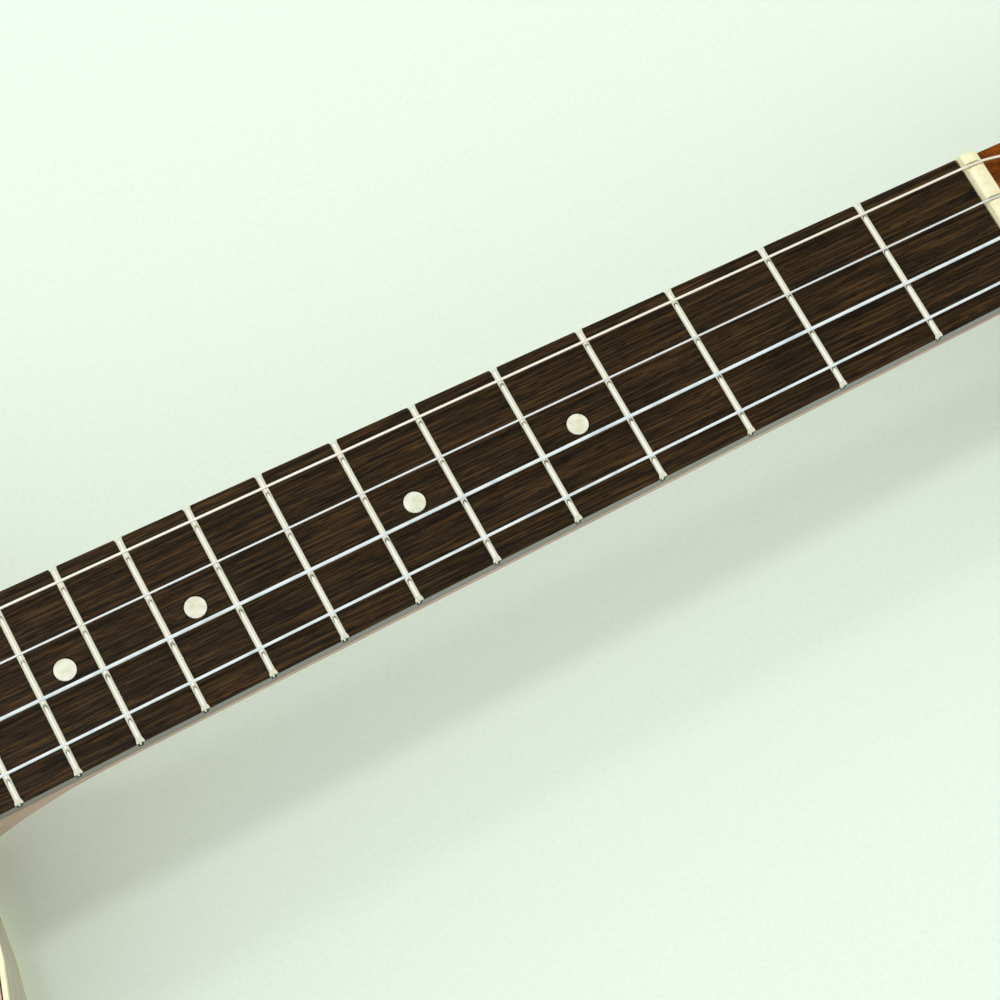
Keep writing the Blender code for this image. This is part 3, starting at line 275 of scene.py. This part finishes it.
face_wood = wood("varnished_mahogany_face", FACE_COLOURS, 0.35, coat=0.3, gloss=0.35)
# The back and ribs take the side colours, with their painted reflection of the floor.
side_wood = wood("varnished_mahogany_back_with_painted_reflection", SIDE_COLOURS, 0.35, coat=0.6)
rib_wood_with_painted_reflection = wood("varnished_mahogany_rib_with_painted_reflection", SIDE_COLOURS, 0.35, coat=0.6, grain="round")
inside_wood = wood("bare_mahogany", INSIDE_COLOURS, 0.7)
spruce = wood("bare_spruce", SPRUCE_COLOURS, 0.65, streak=0.0012, pores=0.0, grain="Y")
dress(face_wood, "soundboard")
dress(side_wood, "back")
dress(inside_wood, "top_lining", "back_lining", "neck_block", "tail_block")
dress(spruce, "top_brace_upper", "top_brace_lower", "back_brace_upper", "back_brace_lower")
for rib in ("rib_bass", "rib_treble"):
    whole_copy(rib, rib_wood_with_painted_reflection, "mahogany")


# Bindings, rosette and heel cap
# Strips of cream plastic are glued into a ledge round both edges of the body and scraped flush. The ring
# round the soundhole and the cap on the heel are of the same plastic. Its surface is polished, with a
# slight ivory mottle.
BINDING_COLOURS = ("e0d8aa", "e7e0b4", "ece7c0")


def plastic(name, colours, roughness, mottle, relief=0.0):
    """Moulded or polished plastic or bone: a soft cloudy change of colour, mottle metres across, and a fine
    relief left by scraping."""
    made, tree, shader, place = start_material(name, Roughness=roughness, IOR=1.5)
    clouds = add_node(tree, "ShaderNodeTexNoise", {"Vector": place, "Scale": 1 / mottle, "Detail": 3.0})
    steps = [(0.3 + 0.4 * i / (len(colours) - 1), code) for i, code in enumerate(colours)]
    tree.links.new(ramp(tree, clouds.outputs["Fac"], steps), shader.inputs["Base Color"])
    if relief:
        bump = add_node(tree, "ShaderNodeBump", {"Height": clouds.outputs["Fac"], "Distance": relief})
        tree.links.new(bump.outputs["Normal"], shader.inputs["Normal"])
    return made


ivory_plastic = plastic("polished_ivory_celluloid", BINDING_COLOURS, 0.3, 0.006)
for strip in ("top_binding", "back_binding"):
    whole_copy(strip, ivory_plastic, "cream_plastic", rounding=0.0003)
whole_copy("rosette", ivory_plastic, "cream_plastic", rounding=0.0001)
whole_copy("heel_cap", ivory_plastic, "cream_plastic", rounding=0.0003)


# Neck and head veneer
# The neck, heel and head are carved from one piece of mahogany and varnished. The face of the head carries
# a thin veneer stained red-brown.
NECK_COLOURS = ("a06c4a", "c08c66", "d2a680")
VENEER_COLOURS = ("5e2a02", "803f04", "9e5608")

neck_wood = wood("varnished_mahogany_neck", NECK_COLOURS, 0.4, coat=0.4)
veneer_wood = wood("stained_mahogany_veneer", VENEER_COLOURS, 0.35, gloss=0.06)
whole_copy("neck", neck_wood, "mahogany")
whole_copy("head_veneer", veneer_wood, "mahogany", rounding=0.0004)


# Fingerboard
# An oiled rosewood board with open pores: nearly black lines and warmer brown streaks run along it, under a
# millimetre wide. Its long edges carry the neck's varnish, so they shine where the face doesn't.
BOARD_COLOURS = ("18120a", "30230f", "50391c")
BOARD_STREAK = 0.0006
BOARD_RUN = 0.022

board_wood = wood("oiled_rosewood", BOARD_COLOURS, 0.42, streak=BOARD_STREAK, run=BOARD_RUN, pores=0.75,
                  gloss=0.07, relief=0.00008)
tree = board_wood.node_tree
outward = add_node(tree, "ShaderNodeSeparateXYZ",
                   {"Vector": add_node(tree, "ShaderNodeNewGeometry").outputs["Normal"]}).outputs["Y"]
edge = add_node(tree, "ShaderNodeMath", operation="ABSOLUTE")
tree.links.new(outward, edge.inputs[0])
tree.links.new(edge.outputs[0], tree.nodes["Principled BSDF"].inputs["Coat Weight"])
dress(board_wood, "fingerboard")
board_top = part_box("fingerboard")[1].z


# Position dots
# Discs punched from pearl-like plastic, glued into drilled pockets and levelled with the board. Their
# figure is a soft cloud under a gloss.
DOT_COLOURS = ("cfd0b4", "e2e3cc", "ecebdd")
DOT_EDGE = 0.00012
POCKET_FILL = 0.00005          # the disc is cut a hair larger than its construction solid
ROUND_STEPS = 48


def skin(name, rings, closed=False):
    """A mesh through rings of equally many points, given as an array of ring, point and place. Its ends are
    closed by fans to their middles, or the last ring joins the first. If its volume comes out negative, it
    is turned."""
    rings = np.asarray(rings, float)
    n, m = rings.shape[:2]
    points = rings.reshape(-1, 3)
    i, j = np.meshgrid(np.arange(n if closed else n - 1), np.arange(m), indexing="ij")
    following, across = (i + 1) % n, (j + 1) % m
    quads = np.stack([i * m + j, i * m + across, following * m + across, following * m + j], -1)
    quads = quads.reshape(-1, 4)
    halves = np.vstack([quads[:, [0, 1, 2]], quads[:, [0, 2, 3]]])
    fans = np.zeros((0, 3), int)
    if not closed:
        points = np.vstack([points, rings[0].mean(0), rings[-1].mean(0)])
        j = np.arange(m)
        across, last = (j + 1) % m, (n - 1) * m
        fans = np.vstack([np.stack([across, j, np.full(m, n * m)], -1),
                          np.stack([last + j, last + across, np.full(m, n * m + 1)], -1)])
    corners = points[np.vstack([halves, fans])]
    volume = np.einsum("ij,ij->i", corners[:, 0], np.cross(corners[:, 1], corners[:, 2])).sum()
    if volume < 0:
        quads, fans = quads[:, ::-1], fans[:, ::-1]
    mesh = bpy.data.meshes.new(name)
    mesh.from_pydata(points.tolist(), [], quads.tolist() + fans.tolist())
    mesh.shade_smooth()
    mesh.set_sharp_from_angle(angle=SMOOTH_UNDER)
    return mesh


def turned(name, profile, origin, axis):
    """A turned solid: each (radius, height) of the profile is a circle round the axis through the origin."""
    axis = Vector(axis).normalized()
    side = axis.orthogonal().normalized()
    other = axis.cross(side)
    radius, height = np.array(profile).T[:, :, None]
    angle = np.linspace(0, math.tau, ROUND_STEPS, endpoint=False)[None, :]
    rings = (np.array(origin) + (radius * np.cos(angle))[..., None] * np.array(side)
             + (radius * np.sin(angle))[..., None] * np.array(other)
             + (height + 0 * angle)[..., None] * np.array(axis))
    return skin(name, rings)


pearl = plastic("pearl_celluloid", DOT_COLOURS, 0.2, 0.002)
for node in [name for name in frame["nodes"] if name.startswith("dot_")]:
    low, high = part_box(node)
    radius = (high.x - low.x) / 2 + POCKET_FILL
    disc = turned(node + "_disc", ((radius, 0), (radius, high.z - low.z - DOT_EDGE),
                                   (radius - DOT_EDGE, high.z - low.z)),
                  ((low.x + high.x) / 2, (low.y + high.y) / 2, low.z), (0, 0, 1))
    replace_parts(add_piece(node + "_disc", disc, pearl, slot="pearl"), node)


# Frets
# Nickel silver wire with a half-round crown over a thin tang, hammered into sawn slots. The ends are filed
# to a bevel, which leaves a flat facet that catches the light, and the crowns are polished by the strings.
FRET_COLOUR = "e6e6d2"
CROWN_HEIGHT = 0.001
TANG_HALF = 0.0003
END_BEVEL = math.radians(48)
RIM_ROUNDING = 0.00012
TANG_SHORT = 0.00015           # the tang ends this far inside the board's edge
CROWN_STEPS = 18


def metal(name, code, roughness, scratch=0.0004, spread=0.08):
    """Bare metal: one colour, whose roughness varies softly as handling and polishing leave it."""
    made, tree, shader, place = start_material(name, Metallic=1.0, Base_Color=linear(code))
    marks = add_node(tree, "ShaderNodeTexNoise", {"Vector": place, "Scale": 1 / scratch, "Detail": 3.0})
    level = add_node(tree, "ShaderNodeMapRange",
                     {"Value": marks.outputs["Fac"], "From Min": 0.3, "From Max": 0.7,
                      "To Min": roughness - spread / 2, "To Max": roughness + spread})
    tree.links.new(level.outputs[0], shader.inputs["Roughness"])
    return made


def fret_rings(low, high):
    """Half an ellipse on a straight foot and tang, carried across the board. Each end leans in above the
    seat by the bevel's tangent, and its rim is drawn in a little, so that it is rounded. A ring close
    behind each rim keeps that rounding short."""
    centre, wide = (low.x + high.x) / 2, (high.x - low.x) / 2
    seat = high.z - CROWN_HEIGHT
    angle = np.linspace(0, math.pi, CROWN_STEPS)
    rings = []
    for sign, inset, share in ((-1, 0, 0.9), (-1, RIM_ROUNDING, 1), (-1, 2 * RIM_ROUNDING, 1),
                               (1, 2 * RIM_ROUNDING, 1), (1, RIM_ROUNDING, 1), (1, 0, 0.9)):
        along = np.concatenate([share * wide * np.cos(angle),
                                [-wide, -TANG_HALF, -TANG_HALF, TANG_HALF, TANG_HALF, wide]])
        level = np.concatenate([seat + share * CROWN_HEIGHT * np.sin(angle),
                                [board_top, board_top, low.z, low.z, board_top, board_top]])
        drawn_in = np.maximum(0, level - seat) * math.tan(END_BEVEL) + TANG_SHORT * (level < seat)
        reach = high.y - inset - drawn_in
        rings.append(np.stack([centre + along, sign * reach, level], -1))
    return rings


nickel = metal("polished_nickel_silver", FRET_COLOUR, 0.16, scratch=0.002, spread=0.03)
for node in [name for name in frame["nodes"] if name.startswith("fret_")]:
    wire = skin(node + "_wire", fret_rings(*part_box(node)))
    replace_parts(add_piece(node + "_wire", wire, nickel, slot="nickel_silver"), node)


# Nut, bridge and saddle
# The nut and saddle are sawn from bone and polished, and the strings lie in filed slots. The bridge is
# carved from rosewood and glued to the face, with a ledge that the knotted strings are drawn up against.
BONE_COLOURS = ("e8e2b4", "f0ebc0", "f5f1cc")

bone = plastic("polished_bone", BONE_COLOURS, 0.35, 0.0015, relief=0.00002)
whole_copy("nut", bone, "bone", rounding=0.0003, steps=3)
whole_copy("saddle", bone, "bone", rounding=0.0002)
whole_copy("bridge", board_wood, "rosewood", rounding=0.0004)


# Strings
# The D and G strings are silvered copper wire wound on a nylon core, and the B and E strings are plain
# nylon. Each is knotted under the bridge's ledge, bends over the saddle and through the nut, and is wound
# on its post.
STRINGS = (("D", 0.00074), ("G", 0.0006), ("B", 0.00084), ("E", 0.00068))
PITCH_NUT = 0.00996
PITCH_SADDLE = 0.01315
SHIFT = 0.0007
CLEAR = 0.0003
ABOVE_NUT_BOARD = 0.0015
ABOVE_SADDLE_BOARD = 0.0058
BRIDGE_HEIGHT = 0.0075
BRIDGE_REAR = 0.018
GROOVE_HEIGHT = 0.0042
GROOVE_DEPTH = 0.0055
KNOT_SWELL = 2.4
KNOT_HEIGHT = 0.002
STRING_BEND = 0.0012
TURNS = 2.5
TURN_GAP = 0.00045
TURN_START = 0.0035
POST_RADIUS = 0.003
HEAD_ANGLE = math.radians(12)
VENEER_TOP = 0.0021
RIDGE = 0.0004                 # real wire is about half as wide, and drawn this coarse so that it shows
RIDGE_SAMPLES = 4
RIDGE_DEPTH = 0.00004
PLAIN_STEP = 0.0005
STRING_SIDES = 10
BEND_EASE = 0.0016             # length over which a bend is rounded

nut_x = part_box("nut")[0].x
saddle_x = sum(corner.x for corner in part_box("saddle")) / 2
face_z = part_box("soundboard")[1].z
head_along = np.array([math.cos(HEAD_ANGLE), 0, -math.sin(HEAD_ANGLE)])
head_normal = np.array([math.sin(HEAD_ANGLE), 0, math.cos(HEAD_ANGLE)])
head_origin = np.array([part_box("nut")[1].x + CLEAR, 0, face_z])
across_head = np.array([0.0, 1.0, 0.0])
joints = {joint["name"]: joint for joint in frame["joints"]}


def on_head(u, y, w):
    """Points on the head: u along its face from the nut, y across and w above the wood, as arrays or
    numbers."""
    u, y, w = (np.asarray(v, float)[..., None] for v in (u, y, w))
    return head_origin + head_along * u + across_head * y + head_normal * w


def string_y(index, share):
    pitch = PITCH_NUT + (PITCH_SADDLE - PITCH_NUT) * share
    return SHIFT + (1.5 - index) * pitch


def string_path(index, name, radius, step):
    """The string's middle line: straight runs from the knot over saddle and nut, then a helix round the
    post whose turns climb by the string's thickness and a small gap. Even steps, with bends rounded by a
    moving mean."""
    post = joints[f"post_{name}_turn"]["pos_m"]
    row = math.dist((post[0], post[2]), (head_origin[0], head_origin[2]))
    side = math.copysign(1, post[1])
    around = POST_RADIUS + CLEAR + radius
    out = post[1] - string_y(index, 0)
    touch = math.atan2(out, row) - side * (math.pi / 2 + math.asin(around / math.hypot(row, out)))
    turn = np.linspace(0, TURNS, int(TURNS * 64))
    angle = touch + side * math.tau * turn
    helix = on_head(row + around * np.cos(angle), post[1] + around * np.sin(angle),
                    VENEER_TOP + TURN_START + (2 * radius + TURN_GAP) * turn)
    ledge = face_z + GROOVE_HEIGHT
    bridge_top = face_z + CLEAR + BRIDGE_HEIGHT
    down_x = saddle_x - BRIDGE_REAR + GROOVE_DEPTH / 2
    y, y_nut = string_y(index, 1), string_y(index, 0)
    nut_z = board_top + ABOVE_NUT_BOARD + radius
    through = head_origin[0] - nut_x
    runs = np.array([(down_x, y, ledge - KNOT_HEIGHT), (down_x, y, bridge_top - STRING_BEND),
                     (down_x + 0.4 * STRING_BEND, y, bridge_top),
                     (down_x + 2 * STRING_BEND, y, bridge_top + CLEAR + radius),
                     (saddle_x, y, board_top + ABOVE_SADDLE_BOARD + radius), (nut_x, y_nut, nut_z),
                     (nut_x + through, y_nut, nut_z - through * math.tan(HEAD_ANGLE))])
    route = np.vstack([runs, helix])
    length = np.concatenate([[0], np.cumsum(np.linalg.norm(np.diff(route, axis=0), axis=1))])
    at = np.arange(0, length[-1], step)
    path = np.stack([np.interp(at, length, route[:, k]) for k in range(3)], -1)
    window = 2 * int(BEND_EASE / step / 2) + 1
    padded = np.pad(path, ((window // 2, window // 2), (0, 0)), mode="reflect", reflect_type="odd")
    sums = np.cumsum(np.vstack([np.zeros(3), padded]), axis=0)
    return (sums[window:] - sums[:-window]) / window, at


def string_rings(path, radius):
    """Circles across the path. Each stands in the plane of the head's normal and the normal's cross product
    with the path, or of +Y where the path turns up at the bridge."""
    ahead = np.gradient(path, axis=0)
    ahead /= np.linalg.norm(ahead, axis=1)[:, None]
    by_head = np.cross(head_normal, ahead)
    sideways = np.where((path[:, 0] < nut_x)[:, None], np.broadcast_to(across_head, path.shape), by_head)
    sideways = sideways - ahead * np.sum(sideways * ahead, axis=1)[:, None]
    sideways /= np.linalg.norm(sideways, axis=1)[:, None]
    upwards = np.cross(ahead, sideways)
    angle = np.linspace(0, math.tau, STRING_SIDES, endpoint=False)
    outwards = (np.cos(angle)[None, :, None] * sideways[:, None, :]
                + np.sin(angle)[None, :, None] * upwards[:, None, :])
    return path[:, None, :] + radius[:, None, None] * outwards


wound_d = metal("silvered_copper_winding_warm", "f2ecda", 0.42, scratch=0.002, spread=0.05)
wound_g = metal("silvered_copper_winding", "e2e5e2", 0.5, scratch=0.002, spread=0.05)
nylon = plastic("extruded_nylon", ("c4d4d6", "dbe6e6", "e8f0ee"), 0.28, 0.004)
for index, (name, diameter) in enumerate(STRINGS):
    wound = index < 2
    step = RIDGE / RIDGE_SAMPLES if wound else PLAIN_STEP
    path, at = string_path(index, name, diameter / 2, step)
    swell = 1 + (KNOT_SWELL - 1) * np.exp(-((at - KNOT_HEIGHT / 2) / (0.4 * KNOT_HEIGHT)) ** 4)
    radius = diameter / 2 * swell
    if wound:
        radius = radius - RIDGE_DEPTH * (1 - np.abs(np.sin(math.pi * at / RIDGE)))
    finish = (wound_d, wound_g, nylon, nylon)[index]
    piece = f"string_{name}_length"
    made = add_piece(piece, skin(piece, string_rings(path, radius)), finish,
                     slot="wound_wire" if wound else "nylon")
    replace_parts(made, f"string_{name}")


# Tuners
# Each is an open gear of plated steel: a folded plate screwed behind the head carries a worm, which turns a
# toothed wheel on the string post. The button on the worm's shaft is moulded plastic.
BUTTON_CENTRE = 0.0445         # from the centre line of the head
BUTTON_HALF = (0.0065, 0.0088, 0.0035)
BUTTON_SQUARENESS = 0.6
WORM_OFFSET = 0.0084
WHEEL_LEVEL = -0.0188
PLATE_BACK = -0.0150
SCREW_RADIUS = 0.0018
SCREW_DOME = 0.0009
SCREW_PLACES = ((-0.0053, 0.0070), (0.0137, -0.0070))
WHEEL_SCREW_RADIUS = 0.0026
POST_END = -0.0220
RECESS_HALF = 0.00028
RECESS_DEPTH = 0.0005
SCREW_RINGS = 20
BUTTON_STEPS = 40


def screw_head(name, centre, radius, dome, slots):
    """A domed head seen from behind: height falls with the square of the radius, less a recess along one or
    two lines through the middle, whose walls are a steep smooth step."""
    share, angle = np.meshgrid(np.linspace(1, 0.02, SCREW_RINGS),
                               np.linspace(0, math.tau, ROUND_STEPS, endpoint=False), indexing="ij")
    a, b = radius * share * np.cos(angle), radius * share * np.sin(angle)
    height = dome * (1 - 0.7 * share ** 2)
    inside = 1 / (1 + np.exp((share - 0.72) * 40))
    for line in (a, b)[:slots]:
        height = height - RECESS_DEPTH * inside / (1 + np.exp((np.abs(line) - RECESS_HALF) / 0.00004))
    foot = np.stack([a[:1], b[:1], 0 * a[:1]], -1)
    rings = np.concatenate([foot, np.stack([a, b, height], -1)])
    return skin(name, centre + rings[..., :1] * head_along + rings[..., 1:2] * across_head
                - rings[..., 2:] * head_normal)


def button_rings(centre):
    """A rounded oblong: an ellipsoid whose latitude's sine and cosine are raised to a power below one,
    which makes its faces flatter."""
    latitude, angle = np.meshgrid(np.linspace(-1, 1, BUTTON_STEPS) * math.radians(89.5),
                                  np.linspace(0, math.tau, ROUND_STEPS, endpoint=False), indexing="ij")
    flat = np.cos(latitude) ** BUTTON_SQUARENESS
    thick = np.sign(latitude) * np.abs(np.sin(latitude)) ** BUTTON_SQUARENESS
    shares = (flat * np.cos(angle), flat * np.sin(angle), thick)
    u, y, w = (half * share for half, share in zip(BUTTON_HALF, shares))
    return centre + u[..., None] * head_along + y[..., None] * across_head + w[..., None] * head_normal


plated_steel = metal("nickel_plated_steel", "c9c9c9", 0.16, scratch=0.0008, spread=0.06)
button_plastic = plastic("moulded_button_plastic", ("d9d2ae", "e6e1c4", "efebd6"), 0.25, 0.004)
for name, diameter in STRINGS:
    post = joints[f"post_{name}_turn"]["pos_m"]
    row = math.dist((post[0], post[2]), (head_origin[0], head_origin[2]))
    side = math.copysign(1, post[1])
    whole_copy(f"tuner_plate_{name}", plated_steel, "chrome", rounding=0.0002)
    whole_copy(f"tuner_post_{name}", plated_steel, "chrome", rounding=0.0001, body=f"post_{name}")
    whole_copy(f"tuner_key_{name}", plated_steel, "chrome", rounding=0.0, body=f"key_{name}")
    for number, (u, y) in enumerate(SCREW_PLACES, 1):
        centre = on_head(row + u, post[1] + side * y, PLATE_BACK)
        piece = f"plate_screw_{name}_{number}"
        add_piece(piece, screw_head(piece, centre, SCREW_RADIUS, SCREW_DOME, 2), plated_steel, slot="chrome")
    piece = f"wheel_screw_{name}"
    centre = on_head(row, post[1], POST_END)
    add_piece(piece, screw_head(piece, centre, WHEEL_SCREW_RADIUS, SCREW_DOME, 1), plated_steel,
              body=f"post_{name}", slot="chrome")
    piece = f"button_{name}"
    centre = on_head(row + WORM_OFFSET, side * BUTTON_CENTRE, WHEEL_LEVEL)
    add_piece(piece, skin(piece, button_rings(centre)), button_plastic, body=f"key_{name}",
              slot="cream_plastic")
